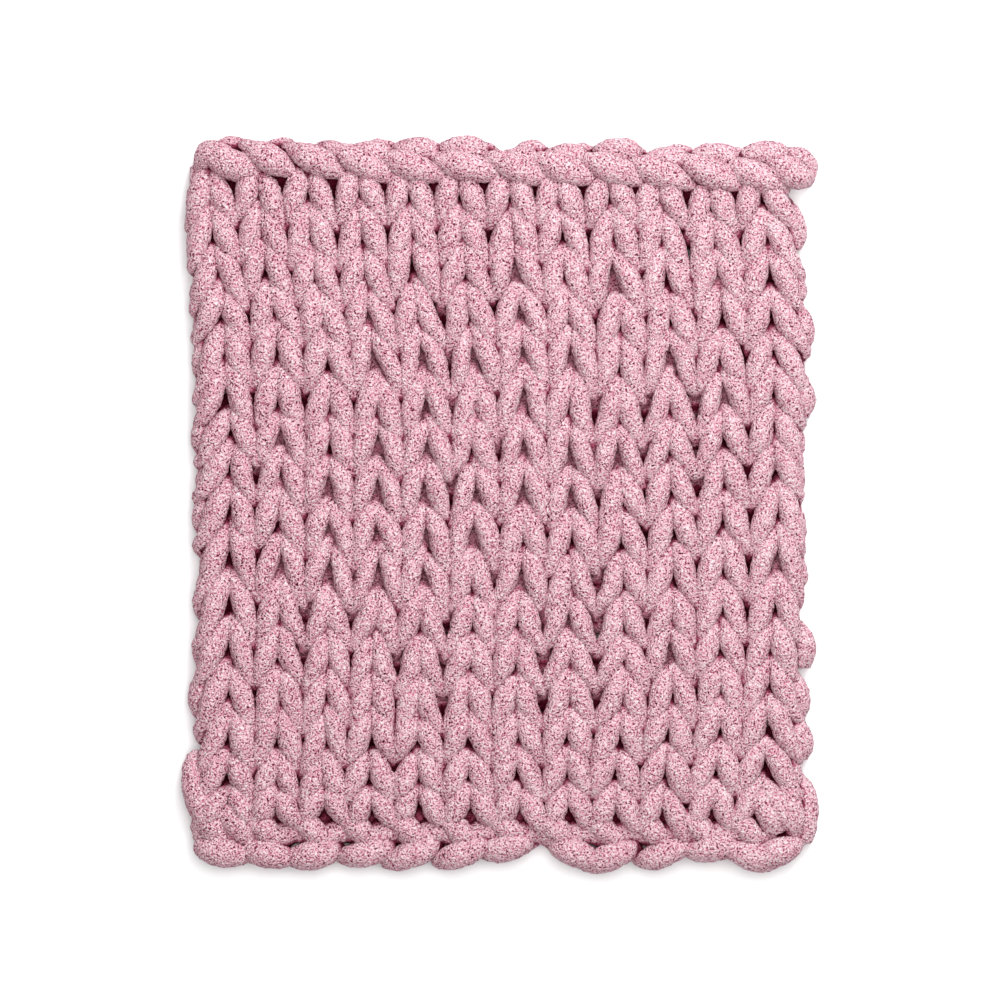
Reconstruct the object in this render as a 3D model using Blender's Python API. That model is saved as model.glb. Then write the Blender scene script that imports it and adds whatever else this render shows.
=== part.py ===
"""Chunky knit blanket, laid flat: one cloth of thick chenille yarn, so one closed solid.

Plain stockinette with eleven whole wales between two selvedges and sixteen courses, a cast-on
edge at the bottom and a chained bind-off edge at the top. The face carries the two legs of each
stitch, and the pits that show daylight are cut through. Metres, +X to the right, +Y towards the
bind-off edge, +Z up out of the face, origin at the middle of the underside.
"""
import bmesh
import bpy
import numpy as np

NODE = "knit_blanket"

# Sizes in millimetres. Plan positions are measured from the blanket's left and top edges.
MM = 0.001
WIDTH = 635.0
LENGTH = 737.0
LEG_CREST = 36.0
CHAIN_CREST = 40.0
CAST_ON_CREST = 37.0
CREASE_HEIGHT = 24.0
PIT_FLOOR = 14.0
RIM_HEIGHT = 15.0
LEG_TILT = 4.0
LINK_RELIEF = 12.0
LINK_SLANT = 33.0
LOBE_RELIEF = 8.0
PURL_PIT_DEPTH = 9.0
UNDERSIDE_INSET = 0.8
CORNER_RADIUS = 14.0

# Half-wale lines: 0, 2 ... 22 are the boundaries between wales and 1, 3 ... 21 are wale centres.
LAST_LINE = 22
LINE_COLUMNS = (0, 6, 12, 18, 22)
# down, then x of lines 0, 6, 12, 18 and 22
WALE_LINES = (
    (14, 23, 169, 322, 472, 574),
    (64, 28, 173, 326, 475, 578),
    (104, 31, 178, 331, 480, 584),
    (144, 40, 182, 334, 484, 585),
    (184, 44, 187, 337, 486, 588),
    (224, 45, 193, 340, 486, 589),
    (274, 51, 196, 340, 484, 591),
    (319, 53, 196, 341, 483, 594),
    (364, 48, 194, 341, 485, 596),
    (409, 48, 193, 341, 488, 592),
    (449, 49, 193, 336, 489, 591),
    (489, 48, 191, 336, 490, 587),
    (529, 47, 189, 334, 489, 586),
    (569, 49, 189, 335, 487, 585),
    (609, 47, 189, 334, 486, 582),
    (649, 46, 188, 333, 483, 580),
    (674, 47, 186, 334, 481, 574),
    (709, 49, 190, 336, 483, 570),
)
# Pits between courses: down at lines 0, 4, 8, 12, 16 and 22, then how far the wale centres lead
COURSE_COLUMNS = (0, 4, 8, 12, 16, 22)
COURSE_PITS = (
    (22, 24, 26, 27, 29, 32, 12),
    (61, 63, 66, 67, 68, 69, 12),
    (99, 103, 102, 100, 106, 107, 8),
    (141, 145, 143, 141, 150, 148, 9),
    (180, 187, 183, 180, 194, 190, 11),
    (216, 231, 232, 225, 236, 225, 10),
    (271, 273, 281, 271, 281, 266, 12),
    (304, 319, 323, 322, 330, 302, 13),
    (342, 359, 363, 369, 370, 344, 15),
    (379, 402, 406, 407, 411, 382, 14),
    (429, 447, 451, 452, 451, 433, 12),
    (477, 490, 491, 494, 490, 479, 13),
    (524, 527, 532, 532, 524, 519, 11),
    (562, 568, 573, 568, 567, 558, 11),
    (613, 610, 616, 608, 611, 603, 11),
    (654, 649, 647, 646, 644, 641, 13),
    (668, 676, 674, 674, 674, 674, 6),
    (706, 704, 702, 705, 710, 707, 13),
    (719, 717, 715, 714, 720, 716, 8),
)
LAST_COURSE = 17
# down of the crease under the bind-off chain, at the lines of COURSE_COLUMNS
CHAIN_CREASE = (42, 46, 50, 54, 58, 64)

# Lobes of yarn along each edge: where, how far from the box's side, half length
LOBE_DROP = 6.0
LEFT_LOBES = (
    (30, 13, 22), (61, 4, 26), (92, 9, 22), (151, 7, 30), (190, 10, 22), (225, 8, 20), (252, 12, 18),
    (297, 7, 30), (342, 13, 20), (380, 9, 26), (430, 15, 22), (465, 9, 26), (514, 10, 28),
    (561, 5, 26), (590, 10, 18), (648, 0, 42), (690, 8, 22), (715, 14, 20),
)
RIGHT_LOBES = (
    (36, 4, 24), (92, 11, 24), (150, 11, 26), (193, 3, 24), (232, 12, 18), (262, 3, 22), (305, 13, 24),
    (340, 12, 22), (390, 12, 24), (434, 10, 24), (512, 1, 34), (562, 6, 24), (604, 5, 24), (640, 15, 18),
    (688, 0, 32), (720, 18, 20),
)
TOP_LOBES = (
    (32, 5, 24), (72, 3, 24), (112, 3, 26), (158, 4, 28), (190, 4, 24), (235, 1, 26), (279, 0, 28),
    (335, 9, 28), (386, 7, 24), (434, 2, 26), (484, 9, 22), (533, 6, 26), (582, 5, 26), (618, 12, 20),
)
BOTTOM_LOBES = (
    (50, 6, 34), (80, 4, 22), (130, 3, 26), (184, 5, 28), (227, 3, 28), (278, 5, 26), (323, 11, 22),
    (388, 5, 34), (427, 0, 34), (482, 5, 26), (526, 9, 22), (567, 0, 24), (596, 5, 22), (622, 16, 20),
)
# how far the links of the bind-off chain lean to the left at a grid row, and at the blanket's sides
LINK_LEAN = ((-1.0, 1.0), (-0.62, 0.9), (-0.34, 0.45), (0.0, 0.0))
LINK_LEAN_ENDS = ((0, 0.0), (60, 1.0), (590, 1.0), (635, 0.0))

# Pits that show daylight: the line, then the courses above which they lie
OPEN_PITS = (
    (1, (8,)),
    (2, (7, 8, 10)),
    (3, (11, 12)),
    (4, (8, 9, 10)),
    (5, (10, 11)),
    (6, (4, 5, 7, 8, 9, 10)),
    (7, (12,)),
    (8, (5, 6, 7, 8, 9, 10)),
    (9, (4, 5, 6, 8, 11, 12, 13)),
    (10, (5, 8, 9)),
    (11, (7, 10)),
    (12, (3, 4, 5, 6, 7, 8, 10)),
    (13, (11, 12, 13)),
    (14, (5, 7, 8, 11)),
    (15, (6, 7, 8, 10, 11, 12, 13)),
    (16, (3, 7)),
    (17, (6, 7, 11)),
    (18, (5, 12)),
    (19, (6, 7, 8)),
    (20, (3, 6)),
    (22, (10,)),
)
GAP_WIDTH = 9.0
GAP_HEIGHT = 16.0
WIDE_GAPS = {(10, 8): (13.0, 25.0), (19, 7): (14.0, 22.0)}

# Grid steps along one leg of a stitch, in its own share of a wale and of a course
SELVEDGE_STEPS = (1.0, 0.86, 0.6, 0.3)
CHAIN_ROWS = (-1.0, -0.88, -0.62, -0.34, -0.1)
CAST_ON_ROWS = (17.0, 17.35, 17.7, 17.9, 18.0)


def read(table, place):
    """A table of two columns read at any place in its first."""
    return float(np.interp(place, [row[0] for row in table], [row[1] for row in table]))


def across(columns, row, line):
    """One row of a table read at any half-wale line."""
    return np.interp(line, columns, row)


def line_x(line, down):
    """x of a half-wale line between the first and the last boundary."""
    table = np.array(WALE_LINES, float)
    here = [np.interp(down, table[:, 0], table[:, 1 + n]) for n in range(len(LINE_COLUMNS))]
    return across(LINE_COLUMNS, here, line)


def pit_down(line, course):
    """How far down the pit of a course lies on a whole half-wale line."""
    *pits, lead = COURSE_PITS[course]
    return across(COURSE_COLUMNS, pits, line) - (lead if line % 2 else 0)


def lobed(along, lobes):
    """Distance of a scalloped edge from its side of the box."""
    return min(inset + LOBE_DROP * ((along - place) / half) ** 2 for place, inset, half in lobes)


def crease_down(line, row):
    """Down of a grid row on a whole line: the chain's crease, the slanting creases, the hem."""
    x = line_x(line, 0 if row < 0 else LENGTH)
    if row == -1:
        return lobed(x, TOP_LOBES)
    if row == 0:
        return across(COURSE_COLUMNS, CHAIN_CREASE, line)
    if row == LAST_COURSE + 1:
        return LENGTH - lobed(x, BOTTOM_LOBES)
    return pit_down(line, row + 1 if line % 2 else row)


def between(low, high, share):
    return low + (high - low) * share


def plan(u, v):
    """x and down of a grid point: u counts half-wale lines and v counts courses."""
    inner = min(max(u, 0.0), float(LAST_LINE))
    # the left selvedge slants as the half wale beside it does, mirrored
    mirrored = abs(u)
    left, right = int(np.floor(mirrored)), int(np.ceil(mirrored))
    upper, lower = int(np.floor(v)), int(np.ceil(v))
    row_down = [
        between(crease_down(left, row), crease_down(right, row), mirrored - left)
        for row in (upper, lower)
    ]
    down = between(*row_down, v - upper)
    x = line_x(inner, down)
    if u < 0:
        x += (lobed(down, LEFT_LOBES) - x) * -u
    if u > LAST_LINE:
        x += (WIDTH - lobed(down, RIGHT_LOBES) - x) * (u - LAST_LINE)
    if v < 0:
        x -= LINK_SLANT * read(LINK_LEAN, v) * read(LINK_LEAN_ENDS, x)
    return x, down


def dome(share):
    """A round top over 0 to 1."""
    return float(np.sqrt(max(0.0, 4 * share * (1 - share))))


def face_height(u, v, x, down):
    """Height of the blanket's face at a grid point."""
    on_rim = u in (-1.0, LAST_LINE + 1.0) or v in (-1.0, LAST_COURSE + 1.0)
    if on_rim:
        return RIM_HEIGHT
    lobe = dome((u % 2) / 2)
    if v < 0:
        top = CREASE_HEIGHT + (CHAIN_CREST - CREASE_HEIGHT) * dome(0.04 + 0.92 * -v)
        return top - LINK_RELIEF * (1 - lobe)
    if v > LAST_COURSE:
        top = CREASE_HEIGHT + (CAST_ON_CREST - CREASE_HEIGHT) * dome(0.96 * (v - LAST_COURSE))
        return top - LOBE_RELIEF * (1 - lobe)
    side = dome(u % 1)
    end = dome(v % 1)
    share = 0.6 * max(side, end) + 0.4 * side * end
    return PIT_FLOOR + (LEG_CREST - PIT_FLOOR) * share - LEG_TILT * side * (v % 1) ** 2


def grid_lines():
    """The grid's columns and rows over the face, and the sparser ones under it."""
    thirds = [n / 3 for n in range(3 * LAST_LINE + 1)]
    thirds = [round(u) if abs(u - round(u)) < 1e-6 else u for u in thirds]
    columns = [-s for s in SELVEDGE_STEPS] + thirds + [LAST_LINE + s for s in reversed(SELVEDGE_STEPS)]
    rows = list(CHAIN_ROWS) + [n / 3 for n in range(3 * (LAST_COURSE - 1) + 1)]
    rows = [round(v) if abs(v - round(v)) < 1e-6 else v for v in rows]
    rows += [LAST_COURSE - 0.5, *CAST_ON_ROWS]
    under_columns = [-UNDERSIDE_INSET, *range(LAST_LINE + 1), LAST_LINE + UNDERSIDE_INSET]
    under_rows = [-UNDERSIDE_INSET, *(n / 2 for n in range(2 * LAST_COURSE + 1)), LAST_COURSE + UNDERSIDE_INSET]
    return [[float(n) for n in each] for each in (columns, rows, under_columns, under_rows)]


def add_grid(bm, columns, rows, height, facing_up):
    """A flat grid primitive whose points are moved onto the knit."""
    made = bmesh.ops.create_grid(bm, x_segments=len(columns) - 1, y_segments=len(rows) - 1, size=1.0)
    places = {}
    for vertex in made["verts"]:
        column = round((vertex.co.x + 1) / 2 * (len(columns) - 1))
        row = round((1 - vertex.co.y) / 2 * (len(rows) - 1))
        places[columns[column], rows[row]] = vertex
    for (u, v), vertex in places.items():
        x, down = plan(u, v)
        if u in (columns[0], columns[-1]) and v in (rows[0], rows[-1]):
            inward = CORNER_RADIUS * (1 - np.sqrt(0.5))
            x += inward if u < 0 else -inward
            down += inward if v < 0 else -inward
        vertex.co = (x * MM, (LENGTH - down) * MM, height(u, v, x, down) * MM)
    if not facing_up:
        faces = {face for vertex in made["verts"] for face in vertex.link_faces}
        bmesh.ops.reverse_faces(bm, faces=list(faces))
    return places


def under_height(u, v, x, down):
    """Height of the underside: flat, with a shallow hollow under each boundary pit."""
    at_pit = u % 2 == 0 and v % 1 == 0 and 0 < v < LAST_COURSE and 0 <= u <= LAST_LINE
    return PURL_PIT_DEPTH if at_pit else 0.0


def open_pit(bm, vertex, width, height):
    """Opens a diamond hole at a pit and returns its four corners: up, left, down, right."""
    centre = vertex.co.copy()
    made = bmesh.ops.bevel(
        bm, geom=[vertex], offset=2 * MM, segments=1, profile=0.5, affect="VERTICES"
    )
    diamond = max(made["faces"], key=lambda face: -face.calc_area())
    corners = sorted(made["verts"], key=lambda corner: corner.co.y)
    low, high = corners[0], corners[-1]
    sides = sorted(corners[1:-1], key=lambda corner: corner.co.x)
    half_width, half_height = width / 2 * MM, height / 2 * MM
    high.co = centre + type(centre)((0, half_height, 0))
    low.co = centre - type(centre)((0, half_height, 0))
    sides[0].co = centre - type(centre)((half_width, 0, 0))
    sides[1].co = centre + type(centre)((half_width, 0, 0))
    bmesh.ops.delete(bm, geom=[diamond], context="FACES_ONLY")
    return high, sides[0], low, sides[1]


def zip_edges(bm, upper, lower):
    """Joins two runs of points, each a list of (place, vertex), with triangles."""
    i = j = 0
    while i < len(upper) - 1 or j < len(lower) - 1:
        next_up = upper[i + 1][0] if i < len(upper) - 1 else np.inf
        next_low = lower[j + 1][0] if j < len(lower) - 1 else np.inf
        if next_up <= next_low:
            bm.faces.new((upper[i][1], lower[j][1], upper[i + 1][1]))
            i += 1
        else:
            bm.faces.new((upper[i][1], lower[j][1], lower[j + 1][1]))
            j += 1


def share_along(values):
    """Places from 0 to 1 along one side of a grid."""
    return [(value - values[0]) / (values[-1] - values[0]) for value in values]


def close_rim(bm, face, under, columns, rows, under_columns, under_rows):
    """The wall of edge yarn, from the face's rim down to the underside's."""
    def run(places, keys, values):
        return list(zip(share_along(values), (places[key] for key in keys)))

    top = run(face, [(u, rows[0]) for u in columns], columns)
    bottom = run(face, [(u, rows[-1]) for u in columns], columns)
    left = run(face, [(columns[0], v) for v in rows], rows)
    right = run(face, [(columns[-1], v) for v in rows], rows)
    under_top = run(under, [(u, under_rows[0]) for u in under_columns], under_columns)
    under_bottom = run(under, [(u, under_rows[-1]) for u in under_columns], under_columns)
    under_left = run(under, [(under_columns[0], v) for v in under_rows], under_rows)
    under_right = run(under, [(under_columns[-1], v) for v in under_rows], under_rows)
    zip_edges(bm, under_top, top)
    zip_edges(bm, bottom, under_bottom)
    zip_edges(bm, left, under_left)
    zip_edges(bm, under_right, right)


def knit_mesh():
    bm = bmesh.new()
    columns, rows, under_columns, under_rows = grid_lines()
    face = add_grid(bm, columns, rows, face_height, facing_up=True)
    under = add_grid(bm, under_columns, under_rows, under_height, facing_up=False)
    close_rim(bm, face, under, columns, rows, under_columns, under_rows)
    for line, courses in OPEN_PITS:
        for course in courses:
            key = float(line), float(course - 1 if line % 2 else course)
            width, height = WIDE_GAPS.get((line, course), (GAP_WIDTH, GAP_HEIGHT))
            above = open_pit(bm, face[key], width, height)
            below = open_pit(bm, under[key], width, height)
            for n in range(4):
                bm.faces.new((above[n], below[n], below[n - 1], above[n - 1]))
    bmesh.ops.triangulate(bm, faces=bm.faces[:])
    centre = [(max(v.co[n] for v in bm.verts) + min(v.co[n] for v in bm.verts)) / 2 for n in (0, 1)]
    bmesh.ops.translate(bm, verts=bm.verts[:], vec=(-centre[0], -centre[1], 0))
    mesh = bpy.data.meshes.new(NODE)
    bm.to_mesh(mesh)
    bm.free()
    return mesh


def chenille():
    """Dusty pink chenille yarn."""
    material = bpy.data.materials.new("chenille_pink")
    material.use_nodes = True
    shader = material.node_tree.nodes["Principled BSDF"]
    shader.inputs["Base Color"].default_value = (0.62, 0.36, 0.43, 1)
    shader.inputs["Roughness"].default_value = 0.95
    shader.inputs["Metallic"].default_value = 0
    return material


def main():
    for thing in list(bpy.data.objects):
        bpy.data.objects.remove(thing)
    blanket = bpy.data.objects.new(NODE, knit_mesh())
    blanket.data.materials.append(chenille())
    collection = bpy.data.collections.new("chunky_knit_blanket")
    bpy.context.scene.collection.children.link(collection)
    collection.objects.link(blanket)


main()
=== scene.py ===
"""Chunky knit blanket: the looks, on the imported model.

The CAD solid gives the blanket's outline and stitches. Here the chenille yarn itself takes its
place: it is laid stitch by stitch along the same lattice of wales and courses, as it is knitted.
Plan sizes are millimetres from the blanket's left and top edges, as in the part's source.
"""

import bpy
import numpy as np
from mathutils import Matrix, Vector, noise

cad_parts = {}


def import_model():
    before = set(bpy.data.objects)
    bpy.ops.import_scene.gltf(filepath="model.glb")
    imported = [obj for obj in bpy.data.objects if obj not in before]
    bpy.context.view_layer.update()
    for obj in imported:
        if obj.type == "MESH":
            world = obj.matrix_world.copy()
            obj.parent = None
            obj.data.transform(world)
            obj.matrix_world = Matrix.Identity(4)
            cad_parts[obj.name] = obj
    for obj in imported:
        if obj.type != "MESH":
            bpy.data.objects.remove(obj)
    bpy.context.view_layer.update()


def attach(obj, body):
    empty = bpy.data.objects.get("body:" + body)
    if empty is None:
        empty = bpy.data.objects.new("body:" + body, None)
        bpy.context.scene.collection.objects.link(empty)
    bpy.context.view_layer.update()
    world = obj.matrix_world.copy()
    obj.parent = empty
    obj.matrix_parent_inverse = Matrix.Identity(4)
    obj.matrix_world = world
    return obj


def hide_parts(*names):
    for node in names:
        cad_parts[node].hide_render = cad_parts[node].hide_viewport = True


NODE = "knit_blanket"
MM = 0.001
WIDTH = 635.0
LENGTH = 737.0

# The yarn's mesh: between rings, around a ring, between control points, and its radius at both ends
RING_STEP = 2.9
RING_SIDES = 23
CURVE_STEPS = 12
END_RADIUS = 3.0
FLOOR_CLEARANCE = 0.3
# Lumps: size and depth in mm, and for the slow ones the depth as a share of the radius
SLOW_LUMP = (30.0, 0.12)
COARSE_LUMP = (15.0, 0.6)
FINE_LUMP = (4.0, 1.5)
# How uneven hand knitting is: every control point in x, down and height, and each leg in x and down
HAND_KNIT_JITTER = (0.6, 0.8, 0.5)
LEG_JITTER = (0.7, 3.0)

# Chenille: how many of each noise's cells lie in a metre, and how far the tufts are bent
TUFTS_PER_METRE = 540.0
BENDS_PER_METRE = 300.0
PATCHES_PER_METRE = 70.0
BEND = (0.003, 0.003, 0.003)
PATCH_DEPTH = 0.10
# Painted light: how much paler the pile turns towards the right, per metre across
PAINTED_LIGHT_TO_THE_RIGHT = 0.03
BUMP_DEPTH = 0.004
# From the dark between the tufts to their pale tips, the yarn's own speckle with painted shade between
# the tufts and painted highlights on their tips: place on the ramp, colour
PILE_TONE_AND_SHADE = (
    (0.30, (0.02, 0.002, 0.006, 1)),
    (0.345, (0.20, 0.035, 0.07, 1)),
    (0.40, (0.43, 0.15, 0.21, 1)),
    (0.50, (0.61, 0.345, 0.405, 1)),
    (0.68, (0.72, 0.60, 0.63, 1)),
)
# Painted crease shade: what that colour is multiplied by, from the yarn's top to the bottom of a crease
CREASE_SHADE_COLOURS = (
    (0.0, (1, 1, 1, 1)),
    (0.15, (0.95, 0.87, 0.90, 1)),
    (0.5, (0.48, 0.16, 0.25, 1)),
    (1.0, (0.13, 0.01, 0.035, 1)),
)
# Painted crease shade: the attribute's name, and in metres the grid's cell, its empty margin in cells, the
# height of its empty cells seen from below, how often it is blurred, and how deep a crease with full shade
# is
CREASE_SHADE_NAME = "crease_shade"
CREASE_CELL = 0.0025
CREASE_MARGIN = 8
CREASE_EMPTY = 0.03
CREASE_BLUR = 6
CREASE_DEPTH = 0.0062
# The nine cells around a cell, itself among them
NEAR = [(i, j) for i in (-1, 0, 1) for j in (-1, 0, 1)]
# Open pits get less painted crease shade, so they are paler: how far above the pit their middle lies, their
# reach in x, y and height in metres, and the most painted crease shade in them
OPEN_RISE = 10
OPEN_REACH = (0.009, 0.018, 0.028)
OPEN_PIT_SHADE_LIMIT = 0.38

# Studio: each light's name, place, size and power
LIGHTS = (
    ("above", (0.2, 0.2, 2.6), 2.6, 92),
    ("key", (0.9, 2.2, 1.9), 1.2, 74),
)
WORLD_STRENGTH = 0.33
FLOOR_COLOUR = (0.92, 0.92, 0.92, 1)
CAMERA_HEIGHT = 6.02
CAMERA_DISTANCE = 6.0
FRAME_WIDTH = 1.001
FRAME_SHIFT = 0.004

# Half-wale lines: 0, 2 ... 22 are the boundaries between wales and 1, 3 ... 21 are wale centres,
# and -1 and 23 are the centres of the two selvedge wales.
FIRST_CENTRE = -1
LAST_CENTRE = 23
LAST_LINE = 22
LINE_COLUMNS = (0, 4, 8, 12, 16, 20, 22)
# down, then x of lines 0, 4, 8, 12, 16, 20 and 22
WALE_LINES = (
    (14, 23, 122, 222, 324, 422, 521, 574),
    (64, 27, 126, 226, 328, 425, 527, 578),
    (104, 30, 129, 229, 330, 429, 530, 582),
    (144, 38, 131, 231, 333, 431, 535, 584),
    (184, 43, 140, 234, 337, 437, 539, 588),
    (229, 43, 146, 242, 340, 437, 537, 589),
    (274, 46, 146, 245, 339, 435, 540, 591),
    (319, 53, 148, 243, 340, 434, 539, 591),
    (364, 48, 147, 242, 341, 437, 539, 596),
    (409, 47, 148, 242, 340, 440, 539, 594),
    (449, 48, 146, 243, 337, 439, 538, 591),
    (491, 49, 145, 239, 335, 439, 538, 590),
    (529, 46, 144, 236, 334, 441, 536, 586),
    (569, 49, 143, 234, 334, 439, 538, 583),
    (609, 48, 142, 235, 334, 434, 536, 580),
    (644, 46, 140, 234, 335, 431, 532, 578),
    (674, 45, 140, 236, 337, 431, 529, 573),
    (709, 47, 144, 240, 338, 433, 528, 570),
)
COURSE_COLUMNS = (0, 4, 8, 12, 16, 22)
# Pits between courses: down at lines 0, 4, 8, 12, 16 and 22, then how far the wale centres lead
COURSE_PITS = (
    (22, 24, 26, 27, 29, 32, 12),
    (61, 63, 66, 67, 68, 69, 12),
    (99, 103, 102, 100, 106, 107, 8),
    (141, 145, 143, 141, 150, 148, 9),
    (180, 187, 183, 180, 194, 190, 11),
    (216, 231, 232, 225, 236, 225, 10),
    (271, 273, 281, 271, 281, 266, 12),
    (304, 319, 323, 322, 330, 302, 13),
    (342, 359, 363, 369, 370, 344, 15),
    (379, 402, 406, 407, 411, 382, 14),
    (429, 447, 451, 452, 451, 433, 12),
    (477, 490, 491, 494, 490, 479, 13),
    (524, 527, 532, 532, 524, 519, 11),
    (562, 568, 573, 568, 567, 558, 11),
    (613, 610, 616, 608, 611, 603, 11),
    (654, 649, 647, 646, 644, 641, 13),
    (674, 675, 674, 674, 674, 674, 8),
    (706, 704, 702, 705, 710, 707, 13),
)
LEG_ROWS = 16
# One leg of a stitch, from its top lobe to its base: share of the way from the wale's boundary to
# its middle, share of the way down, height, half width, half height
LEG_SHAPE = (
    (0.06, 0.02, 12.0, 7.0, 9.0),
    (0.22, 0.17, 22.0, 9.6, 11.0),
    (0.42, 0.40, 26.0, 11.6, 13.0),
    (0.58, 0.62, 26.0, 11.4, 13.0),
    (0.78, 0.84, 22.0, 8.8, 11.0),
    (0.94, 1.00, 12.0, 6.0, 9.0),
)
# How far below its pit the back arc of a loop lies, and how far above its pit the one between two
# loops lies, and half their width, each where the pit is closed and where it is open
HEAD_DROP = (2.0, 6.0)
SINKER_RISE = (2.0, 9.0)
BACK_HALF_WIDTH = (13.0, 14.5)
BACK_HEIGHT = 8.5
# How far the middle of a leg gives way beside an open pit, and which share of the leg that is
SPREAD = 2.4
LEG_MIDDLE = (0.35, 0.7)
# How far the tops of the first course lie below the others, under the chain
TUCK = 12.0

# The selvedges: radius, how far below its pit a course's outermost lobe lies, and how far the inner
# legs lean outward on their way down
SELVEDGE_RADIUS = 12.0
SELVEDGE_DROP = 30.0
SELVEDGE_LEAN = 5.0
# Centre lines of the selvedge wales: down, x
LEFT_CREASE = ((20, 10), (60, 10), (100, 14), (150, 15), (200, 18), (300, 21), (400, 20), (700, 19))
RIGHT_CREASE = (
    (60, 602), (92, 612), (167, 611), (209, 619), (354, 609), (379, 612), (542, 609), (620, 612), (700, 610),
)
# Outermost yarn along each side: down, then how far in from the box's side
LEFT_LOBES = (
    (61, 4), (92, 9), (151, 7), (190, 10), (225, 8), (252, 12), (297, 7), (342, 13), (380, 9),
    (430, 15), (465, 9), (514, 10), (561, 5), (590, 10), (648, 0), (690, 8), (715, 14),
)
RIGHT_LOBES = (
    (92, 11), (150, 11), (193, 3), (232, 12), (262, 3), (305, 13), (340, 12), (390, 12), (434, 10),
    (512, 1), (562, 6), (604, 5), (640, 15), (688, 0), (720, 18),
)

# The bind-off chain. Each front link: start x and down, end x and down
FRONT_LINKS = (
    (24, 20, 78, 39), (60, 9, 114, 38), (102, 10, 165, 40), (143, 10, 216, 45), (195, 20, 264, 42),
    (245, 21, 322, 41), (300, 19, 366, 46), (346, 21, 417, 46), (396, 20, 462, 47), (443, 24, 513, 51),
    (493, 22, 561, 52), (542, 26, 603, 54), (584, 22, 634, 52),
)
# One front link: share of the way along it, height, half width, half height
LINK_SHAPE = (
    (0.02, 14, 5, 9), (0.2, 23, 10.5, 13), (0.38, 27, 14.5, 15),
    (0.62, 27, 14.5, 15), (0.8, 23, 10.5, 13), (0.98, 14, 5, 9),
)
# The humps of its back strand along the top edge, each after the link of that number: x and down
# of the crest
BACK_HUMPS = {
    3: (186, 5), 4: (234, 1), 5: (281, 0), 6: (337, 11), 7: (385, 7), 8: (435, 2), 9: (485, 10),
    10: (533, 7), 11: (582, 5),
}
# One hump: x from its crest, down from its crest, height, half width, half height
HUMP_SHAPE = ((-18, 17, 12, 9, 10), (0, 12, 19, 12, 13), (15, 15, 16, 11, 12))
# How the chain starts at its left end and how it turns back at its right: x, down, height, radius
BIND_OFF_START = ((20, 38, 11, 8), (21, 25, 19, 12), (29, 18, 25, 13.5))
BIND_OFF_END = ((623, 41, 18, 10), (626, 31, 14, 9.5), (619, 21, 18, 9.5), (604, 20, 12, 9))
# The links of the cast-on chain: x, lowest down, lean in mm (over 0 where it climbs to the right)
CAST_ON_LINKS = (
    (40, 730, -4), (85, 732, -5), (130, 733, 4), (184, 731, 5), (229, 732, 9), (280, 731, 9),
    (324, 725, 6), (392, 731, -9), (427, 735, 9), (482, 731, 9), (529, 726, 4), (567, 734, -8),
    (592, 731, 9),
)
# One such link: x from its middle, down, share of the lean, height, radius
CAST_ON_RADIUS = 14.5
CAST_ON_SHAPE = (
    (-26, -3, 1, 13, 8), (-14, 0, 0.6, 22, 12.5), (0, 0, 0, 25, CAST_ON_RADIUS),
    (14, 0, -0.6, 22, 12.5), (24, -3, -1, 13, 8),
)

# Strands at the bottom corners, from the outside in: x, down, height, radius
BOTTOM_CORNERS = {
    "left": (
        (18, 616, 11, 9), (11, 634, 18, 12), (14, 657, 22, 13.5), (26, 684, 24, 13.5), (38, 704, 18, 12),
        (44, 712, 9, 9), (30, 690, 9, 8), (34, 668, 12, 8), (45, 678, 23, 12.5), (58, 693, 24, 13),
        (72, 708, 15, 10),
    ),
    "right": (
        (612, 640, 9, 8), (623, 658, 12, 10), (625, 682, 13, 10), (616, 704, 9, 9), (604, 690, 8, 8),
        (596, 640, 9, 8), (602, 646, 22, 10.5), (607, 666, 25, 11), (611, 686, 22, 11),
        (609, 700, 11, 9), (596, 700, 9, 8), (566, 652, 9, 8), (576, 662, 22, 12), (587, 680, 26, 13),
        (592, 697, 20, 11),
    ),
}
# The level strand behind the bind-off chain: x, down
BIND_OFF_BACK = (
    (24, 38), (80, 42), (150, 45), (220, 48), (300, 50), (380, 51), (460, 53), (540, 55), (606, 56),
)
BIND_OFF_BACK_RADIUS = 10
# The one behind the cast-on chain: first x, end of x, step, height, radius
CAST_ON_BACK = (18, 610, 24, 16, 13)

# Open pits, wider than the others: the line, then the courses above which they lie
OPEN_PITS = (
    (1, (8,)),
    (2, (7, 8, 10)),
    (3, (11, 12)),
    (4, (8, 9, 10)),
    (5, (10, 11)),
    (6, (4, 5, 7, 8, 9, 10)),
    (7, (12,)),
    (8, (5, 6, 7, 8, 9, 10)),
    (9, (4, 5, 6, 8, 11, 12, 13)),
    (10, (5, 8, 9)),
    (11, (7, 10)),
    (12, (3, 4, 5, 6, 7, 8, 10)),
    (13, (11, 12, 13)),
    (14, (5, 7, 8, 11)),
    (15, (6, 7, 8, 10, 11, 12, 13)),
    (16, (3, 7)),
    (17, (6, 7, 11)),
    (18, (5, 12)),
    (19, (6, 7, 8)),
    (20, (3, 6)),
    (22, (10,)),
)
IS_OPEN = {(line, course) for line, courses in OPEN_PITS for course in courses}


def read(table, place):
    """A table of two columns read at any place in its first."""
    return float(np.interp(place, [row[0] for row in table], [row[1] for row in table]))


def line_x(line, down):
    """x of a half-wale line."""
    if line == FIRST_CENTRE:
        return read(LEFT_CREASE, down)
    if line == LAST_CENTRE:
        return read(RIGHT_CREASE, down)
    table = np.array(WALE_LINES, float)
    here = [np.interp(down, table[:, 0], table[:, 1 + n]) for n in range(len(LINE_COLUMNS))]
    return float(np.interp(line, LINE_COLUMNS, here))


def pit_down(line, course):
    """How far down the pit of a course lies on a half-wale line."""
    *pits, lead = COURSE_PITS[course]
    return float(np.interp(line, COURSE_COLUMNS, pits)) - (lead if line % 2 else 0)


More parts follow.
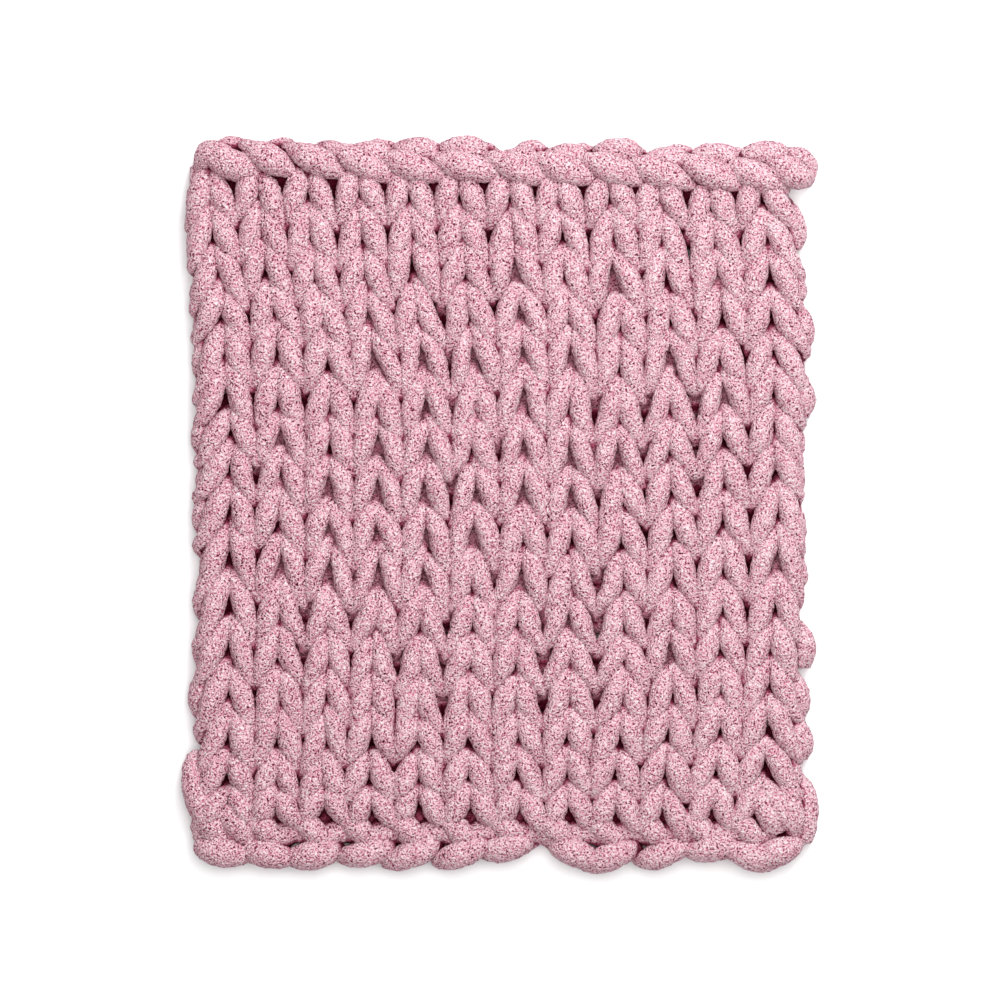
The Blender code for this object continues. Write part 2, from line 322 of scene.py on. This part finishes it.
def leg(line, centre, course):
    """One leg of a stitch, from its base in the wale's middle up to its lobe beside the boundary."""
    top = pit_down(line, course)
    length = pit_down(centre, course + 2) - top
    side = 1 if centre > line else -1
    shift_x, shift_down = np.random.default_rng([line + 1, centre + 1, course]).normal(0, LEG_JITTER)
    points = []
    for across, along, height, half_width, half_height in LEG_SHAPE:
        down = top + along * length
        boundary, middle = line_x(line, down), line_x(centre, down)
        x = boundary + across * (middle - boundary)
        in_middle = LEG_MIDDLE[0] < along < LEG_MIDDLE[1]
        for beside, way in ((centre, -side), (line, side)):
            if (beside, course + 1) in IS_OPEN and in_middle:
                x += way * SPREAD
                half_width -= SPREAD / 3
        if centre in (FIRST_CENTRE, LAST_CENTRE):
            x += side * SELVEDGE_LEAN * along
        if course == 0:
            height -= TUCK * max(0, 1 - 2 * along)
        points.append((x + shift_x, down + shift_down, height, half_width, half_height))
    return points[::-1]


def outer_leg(lobe, centre, side):
    """The selvedge's outer leg, which leans outward and curls to the back at the blanket's side."""
    down, inset = lobe
    x = inset + SELVEDGE_RADIUS if side > 0 else WIDTH - inset - SELVEDGE_RADIUS
    crease_shade = line_x(centre, down - 27)
    return [
        (x + side * 4, down + 19, 9, 9, 9),
        (x, down + 6, 13, SELVEDGE_RADIUS, SELVEDGE_RADIUS),
        (x + side * 2, down - 7, 15, SELVEDGE_RADIUS, SELVEDGE_RADIUS),
        ((x + crease_shade) / 2 + side * 3, down - 18, 13, 10, 10),
        (crease_shade + side * 6, down - 27, 9, 8, 8),
    ]


def head(centre, course):
    """The back of a loop, behind the base of the loop above it."""
    is_open = (centre, course) in IS_OPEN
    down = pit_down(centre, course) + HEAD_DROP[is_open]
    return (line_x(centre, down), down, BACK_HEIGHT, BACK_HALF_WIDTH[is_open], BACK_HEIGHT)


def sinker(line, course):
    """The yarn between two stitches of a course, behind the legs below."""
    is_open = (line, course + 2) in IS_OPEN
    down = pit_down(line, course + 2) - SINKER_RISE[is_open]
    return (line_x(line, down), down, BACK_HEIGHT, BACK_HALF_WIDTH[is_open], BACK_HEIGHT)


def nearest(lobes, down):
    """The lobe of a side nearest to a place down it."""
    return min(lobes, key=lambda lobe: abs(lobe[0] - down))


def course_path(course):
    """One course from the left selvedge to the right."""
    path = []
    for centre in range(FIRST_CENTRE, LAST_CENTRE + 1, 2):
        left, right = centre - 1, centre + 1
        if centre == FIRST_CENTRE:
            down = pit_down(0, course) + SELVEDGE_DROP
            path += outer_leg(nearest(LEFT_LOBES, down), centre, 1)
        else:
            path += leg(left, centre, course)
        if FIRST_CENTRE < centre < LAST_CENTRE:
            path.append(head(centre, course))
        if centre == LAST_CENTRE:
            down = pit_down(LAST_LINE, course) + SELVEDGE_DROP
            path += outer_leg(nearest(RIGHT_LOBES, down), centre, -1)[::-1]
        else:
            path += leg(right, centre, course)[::-1]
            path.append(sinker(right, course))
    path = np.array(path, float)
    path[:, :3] += np.random.default_rng(course).normal(0, HAND_KNIT_JITTER, (len(path), 3))
    return path


def bind_off_path():
    """The chain along the top edge: each link lies over the front, and returns under the back."""
    path = as_round(BIND_OFF_START).tolist()
    last = len(FRONT_LINKS) - 1
    for n, (x0, down0, x1, down1) in enumerate(FRONT_LINKS):
        first_row = 2 if n == 0 else 0
        end_row = len(LINK_SHAPE) - (2 if n == last else 0)
        for along, *sizes in LINK_SHAPE[first_row:end_row]:
            path.append((x0 + along * (x1 - x0), down0 + along * (down1 - down0), *sizes))
        if n < last:
            path.append((x1 - 12, down1 - 10, 9, 8, 8))
        if n in BACK_HUMPS:
            hump_x, crest = BACK_HUMPS[n]
            path += [(hump_x + x, crest + down, *sizes) for x, down, *sizes in HUMP_SHAPE]
    return np.array(path + as_round(BIND_OFF_END).tolist(), float)


def cast_on_path():
    """The chain along the bottom edge."""
    path = []
    for x, lowest, lean in CAST_ON_LINKS:
        for across, drop, share, *sizes in CAST_ON_SHAPE:
            path.append((x + across, lowest - CAST_ON_RADIUS + drop + share * lean, *sizes))
    return as_round(path)


def cast_on_back_path():
    """The chain's back strand, level behind the first row."""
    *span, height, radius = CAST_ON_BACK
    down = pit_down(0, LEG_ROWS + 1) - 12
    return as_round([(x, down + 6 * (n % 2), height, radius) for n, x in enumerate(range(*span))])


def bind_off_back_path():
    """The level strand behind the chain, through the tops of the last loops."""
    return as_round([(x, down, BIND_OFF_BACK_RADIUS, BIND_OFF_BACK_RADIUS) for x, down in BIND_OFF_BACK])


def cast_on_stubs_path():
    """The short slanted first row, from the chain up into the lowest loops."""
    path = []
    for centre in range(1, LAST_LINE, 2):
        top = pit_down(centre - 1, LEG_ROWS)
        x = line_x(centre, top)
        path.append((x, pit_down(centre, LEG_ROWS), 8.5, 10))
        path.append((x - 10, top + 8, 10, 9))
        path.append((x - 2, top + 8, 18, 11))
        path.append((x + 9, top + 15, 24, 12.5))
        path.append((x + 20, top + 26, 22, 12))
        path.append((x + 29, top + 35, 11, 9))
        path.append((line_x(centre + 1, top) + 4, top + 20, 9, 8))
        path.append((line_x(centre + 1, top) - 2, top + 8, 13, 9))
    return as_round(path)


def as_round(points):
    """The control points of round yarn, with its radius both as half width and as half height."""
    return np.array([(*point, point[-1]) for point in points], float)


def smooth(points):
    """A Catmull-Rom curve through the control points, with a point every step."""
    ends = np.vstack([2 * points[0] - points[1], points, 2 * points[-1] - points[-2]])
    share = np.linspace(0, 1, CURVE_STEPS, endpoint=False)[:, None]
    pieces = []
    for a, b, c, d in zip(ends, ends[1:], ends[2:], ends[3:]):
        square, cube = 2 * a - 5 * b + 4 * c - d, 3 * b - a - 3 * c + d
        pieces.append(0.5 * (2 * b + (c - a) * share + square * share**2 + cube * share**3))
    dense = np.vstack(pieces + [points[-1:]])
    along = np.r_[0, np.cumsum(np.linalg.norm(np.diff(dense[:, :3], axis=0), axis=1))]
    places = np.linspace(0, along[-1], int(along[-1] / RING_STEP) + 1)
    return np.column_stack([np.interp(places, along, dense[:, n]) for n in range(dense.shape[1])])


def ring_frames(line):
    """For each point of the curve, the direction level across the yarn and the one up out of it."""
    tangents = np.gradient(line, axis=0)
    tangents /= np.linalg.norm(tangents, axis=1)[:, None]
    across = np.cross(tangents, (0, 0, 1))
    across /= np.linalg.norm(across, axis=1)[:, None]
    return across, np.cross(across, tangents)


def lump(points, size, depth, seed):
    """Smooth random lumps at points in millimetres."""
    offset = Vector((seed * 37.1, seed * 11.7, seed * 5.3))
    return depth * np.array([noise.noise(Vector(p) / size + offset) for p in points])


def yarn_mesh(name, control, seed):
    """A soft tube along the control points, lumpy as chenille is, and flat where it rests."""
    curve = smooth(control)
    line, radii = curve[:, :3] * (1, -1, 1), curve[:, 3:]
    radii = radii * (1 + lump(line, *SLOW_LUMP, seed))[:, None]
    radii[[0, -1]] = END_RADIUS
    across, upward = ring_frames(line)
    angles = np.linspace(0, 2 * np.pi, RING_SIDES, endpoint=False)
    wide = np.cos(angles)[None, :, None] * across[:, None]
    tall = np.sin(angles)[None, :, None] * upward[:, None]
    out = wide + tall
    rings = line[:, None] + wide * radii[:, :1, None] + tall * radii[:, 1:, None]
    flat = rings.reshape(-1, 3)
    swell = lump(flat, *COARSE_LUMP, seed) + lump(flat, *FINE_LUMP, seed)
    rings = rings + out * swell.reshape(len(line), RING_SIDES)[:, :, None]
    rings[:, :, 2] = np.maximum(rings[:, :, 2], FLOOR_CLEARANCE)
    verts = rings.reshape(-1, 3)
    verts = (verts + (-WIDTH / 2, LENGTH / 2, 0)) * MM
    faces = []
    last = (len(line) - 1) * RING_SIDES
    for start in range(0, last, RING_SIDES):
        for n in range(RING_SIDES):
            beside = start + (n + 1) % RING_SIDES
            faces.append((start + n, beside, beside + RING_SIDES, start + n + RING_SIDES))
    faces.append(tuple(range(RING_SIDES))[::-1])
    faces.append(tuple(last + n for n in range(RING_SIDES)))
    mesh = bpy.data.meshes.new(name)
    mesh.from_pydata(verts.tolist(), [], faces)
    mesh.shade_smooth()
    return mesh


def add_node(material, kind, **inputs):
    """A shader node with its inputs set by name, or by number after an underscore.

    Each is set to a value or linked to another node's output.
    """
    node = material.node_tree.nodes.new(kind)
    for name, value in inputs.items():
        socket = node.inputs[int(name[1:])] if name[1:].isdigit() else node.inputs[name.replace("_", " ")]
        if isinstance(value, bpy.types.NodeSocket):
            material.node_tree.links.new(value, socket)
        else:
            socket.default_value = value
    return node


def add_math(material, operation, first, second, third=0.0):
    """The output of a math node."""
    node = add_node(material, "ShaderNodeMath", _0=first, _1=second, _2=third)
    node.operation = operation
    return node.outputs[0]


def add_ramp(material, place, colours):
    """The colour output of a ramp with these colours at their places."""
    ramp = add_node(material, "ShaderNodeValToRGB", Fac=place)
    elements = ramp.color_ramp.elements
    first, *between, last = colours
    elements[0].position, elements[0].color = first
    elements[1].position, elements[1].color = last
    for position, colour in between:
        elements.new(position).color = colour
    return ramp.outputs["Color"]


def chenille():
    """Dusty pink chenille: short pale tufts, dark specks between them, partly painted highlight and shade,
    painted shade in creases, and painted light to the right.
    """
    material = bpy.data.materials.new("chenille")
    material.use_nodes = True
    place = add_node(material, "ShaderNodeTexCoord").outputs["Object"]
    bend = add_node(material, "ShaderNodeTexNoise", Vector=place, Scale=BENDS_PER_METRE, Detail=1.0)
    bent = add_node(material, "ShaderNodeVectorMath", _0=bend.outputs["Color"], _1=BEND, _2=place)
    bent.operation = "MULTIPLY_ADD"
    tufts = bent.outputs[0]
    grain = add_node(material, "ShaderNodeTexNoise", Vector=tufts, Scale=TUFTS_PER_METRE, Detail=1.5)
    patches = add_node(material, "ShaderNodeTexNoise", Vector=place, Scale=PATCHES_PER_METRE, Detail=2.0)
    x = add_node(material, "ShaderNodeSeparateXYZ", Vector=place).outputs["X"]
    pile = grain.outputs["Fac"]
    # Painted light: the pile turns paler towards the right
    tint = add_math(material, "MULTIPLY_ADD", x, PAINTED_LIGHT_TO_THE_RIGHT, pile)
    patch = add_math(material, "MULTIPLY_ADD", patches.outputs["Fac"], PATCH_DEPTH, -PATCH_DEPTH / 2)
    tint = add_math(material, "ADD", tint, patch)
    # Painted crease shade: the pile's colour is multiplied darker and redder down into each crease
    crease_shade = add_node(material, "ShaderNodeAttribute")
    crease_shade.attribute_name = CREASE_SHADE_NAME
    base = add_node(material, "ShaderNodeMix")
    base.data_type = "RGBA"
    base.blend_type = "MULTIPLY"
    base.inputs["Factor"].default_value = 1.0
    links = material.node_tree.links
    links.new(add_ramp(material, tint, PILE_TONE_AND_SHADE), base.inputs[6])
    links.new(add_ramp(material, crease_shade.outputs["Fac"], CREASE_SHADE_COLOURS), base.inputs[7])
    bump = add_node(material, "ShaderNodeBump", Height=pile, Strength=1.0, Distance=BUMP_DEPTH)

    shader = material.node_tree.nodes["Principled BSDF"]
    shader.inputs["Roughness"].default_value = 0.9
    shader.inputs["Specular IOR Level"].default_value = 0.05
    links.new(base.outputs[2], shader.inputs["Base Color"])
    links.new(bump.outputs["Normal"], shader.inputs["Normal"])
    return material


def blurred(grid, passes):
    """The grid averaged with its neighbours again and again."""
    for _ in range(passes):
        edged = np.pad(grid, 1, mode="edge")
        rows, columns = grid.shape
        grid = sum(edged[1 + i : 1 + i + rows, 1 + j : 1 + j + columns] for i, j in NEAR) / len(NEAR)
    return grid


def mark_crease_shade(pieces):
    """Gives each point of the yarn its depth below the yarn around it, seen from above or below, as its
    share of painted crease shade.
    """
    counts = [len(piece.data.vertices) for piece in pieces]
    points = np.zeros((sum(counts), 3), np.float32)
    starts = np.cumsum([0] + counts)
    for piece, start, end in zip(pieces, starts, starts[1:]):
        piece.data.vertices.foreach_get("co", points[start:end].ravel())
    cell = np.floor((points[:, :2] - points[:, :2].min(0)) / CREASE_CELL).astype(int) + CREASE_MARGIN
    size = cell.max(0) + CREASE_MARGIN + 1
    cell, height = tuple(cell.T), points[:, 2]
    above, below = np.zeros(size), np.full(size, CREASE_EMPTY)
    np.maximum.at(above, cell, height)
    np.minimum.at(below, cell, height)
    above, below = blurred(above, CREASE_BLUR)[cell], blurred(below, CREASE_BLUR)[cell]
    depth = np.minimum(above - height, height - below)
    crease_shade = np.clip(depth / CREASE_DEPTH, 0, 1)
    # Open pits get less painted crease shade, so they show paler
    for line, course in sorted(IS_OPEN):
        down = pit_down(line, course) - OPEN_RISE
        middle = ((line_x(line, down) - WIDTH / 2) * MM, (LENGTH / 2 - down) * MM, 0)
        inside = (np.abs(points - middle) < OPEN_REACH).all(1)
        crease_shade[inside] = np.minimum(crease_shade[inside], OPEN_PIT_SHADE_LIMIT)
    for piece, start, end in zip(pieces, starts, starts[1:]):
        attribute = piece.data.attributes.new(CREASE_SHADE_NAME, "FLOAT", "POINT")
        attribute.data.foreach_set("value", crease_shade[start:end].astype(np.float32))


def add_yarn(name, control, seed, material):
    """A piece of yarn that takes the place of the solid."""
    piece = bpy.data.objects.new(name, yarn_mesh(name, control, seed))
    piece.data.materials.append(material)
    bpy.context.scene.collection.objects.link(piece)
    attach(piece, "root")
    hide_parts(NODE)
    return piece


def add_light(name, place, size, power):
    """A soft square light that shines on the blanket's middle."""
    light = bpy.data.lights.new(name, "AREA")
    light.size = size
    light.energy = power
    lamp = bpy.data.objects.new(name, light)
    lamp.location = place
    lamp.rotation_euler = (-Vector(place)).to_track_quat("-Z", "Y").to_euler()
    bpy.context.scene.collection.objects.link(lamp)


def add_studio():
    """A pale floor, soft light, and the camera straight above."""
    bpy.ops.mesh.primitive_plane_add(size=12)
    floor = bpy.context.object
    floor.name = "floor"
    paint = bpy.data.materials.new("floor_paint")
    paint.use_nodes = True
    shader = paint.node_tree.nodes["Principled BSDF"]
    shader.inputs["Base Color"].default_value = FLOOR_COLOUR
    shader.inputs["Roughness"].default_value = 0.9
    floor.data.materials.append(paint)

    for light in LIGHTS:
        add_light(*light)
    world = bpy.data.worlds.new("studio")
    world.use_nodes = True
    background = world.node_tree.nodes["Background"]
    background.inputs["Color"].default_value = (1, 1, 1, 1)
    background.inputs["Strength"].default_value = WORLD_STRENGTH
    scene = bpy.context.scene
    scene.world = world
    scene.view_settings.view_transform = "Standard"

    camera = bpy.data.cameras.new("camera")
    camera.sensor_width = 36
    camera.lens = camera.sensor_width * CAMERA_DISTANCE / FRAME_WIDTH
    camera.clip_end = 20
    holder = bpy.data.objects.new("camera", camera)
    holder.location = (0, FRAME_SHIFT, CAMERA_HEIGHT)
    scene.collection.objects.link(holder)
    scene.camera = holder


def main():
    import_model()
    material = chenille()
    pieces = [
        add_yarn(f"course_{course + 1:02d}", course_path(course), course + 1, material)
        for course in range(LEG_ROWS)
    ]
    pieces.append(add_yarn("bind_off_chain", bind_off_path(), 31, material))
    pieces.append(add_yarn("bind_off_back", bind_off_back_path(), 37, material))
    pieces.append(add_yarn("cast_on_row", cast_on_stubs_path(), 32, material))
    pieces.append(add_yarn("cast_on_chain", cast_on_path(), 33, material))
    pieces.append(add_yarn("cast_on_back", cast_on_back_path(), 34, material))
    for corner, seed in (("left", 35), ("right", 36)):
        pieces.append(add_yarn(f"corner_{corner}", as_round(BOTTOM_CORNERS[corner]), seed, material))
    mark_crease_shade(pieces)
    add_studio()


main()
